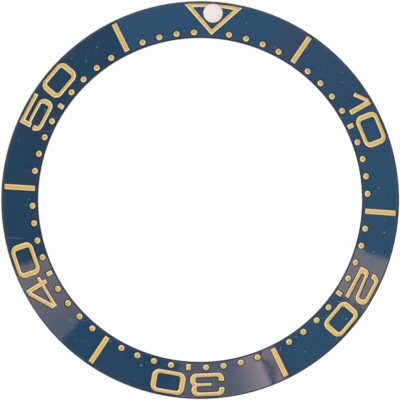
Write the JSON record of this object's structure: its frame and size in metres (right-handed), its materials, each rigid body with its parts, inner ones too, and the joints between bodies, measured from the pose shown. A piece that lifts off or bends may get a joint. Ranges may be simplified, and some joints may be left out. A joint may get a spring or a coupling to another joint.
{
  "type": "watch bezel insert",
  "caption": "Sloped glossy ceramic ring for a diver's rotating bezel, with gold minute marks and numerals set in pockets and a luminous pip at zero.",
  "frame": {"origin": "centre of the flat back, on the ring's axis", "axes": "+Z along the ring's axis out of the face, +Y towards the zero mark, minutes clockwise seen from +Z"},
  "size_m": [0.038, 0.038, 0.0015],
  "materials": {
    "ceramic": "polished",
    "gold": "polished",
    "lume": "satin"
  },
  "bodies": {
    "root": {"insert_ring": "ceramic", "lume_pip": "lume", "triangle_frame": "gold", "numeral_10_one": "gold", "numeral_10_zero": "gold", "numeral_20_two": "gold", "numeral_20_zero": "gold", "numeral_30_three": "gold", "numeral_30_zero": "gold", "numeral_40_four": "gold", "numeral_40_zero": "gold", "numeral_50_five": "gold", "numeral_50_zero": "gold", "bar_05": "gold", "bar_15": "gold", "bar_25": "gold", "bar_35": "gold", "bar_45": "gold", "bar_55": "gold", "block_10": "gold", "block_20": "gold", "block_30": "gold", "block_40": "gold", "block_50": "gold", "dots_01_04": "gold", "dots_06_09": "gold", "dots_11_14": "gold", "dots_16_19": "gold", "dots_21_24": "gold", "dots_26_29": "gold", "dots_31_34": "gold", "dots_36_39": "gold", "dots_41_44": "gold", "dots_46_49": "gold", "dots_51_54": "gold", "dots_56_59": "gold"}
  },
  "joints": []
}
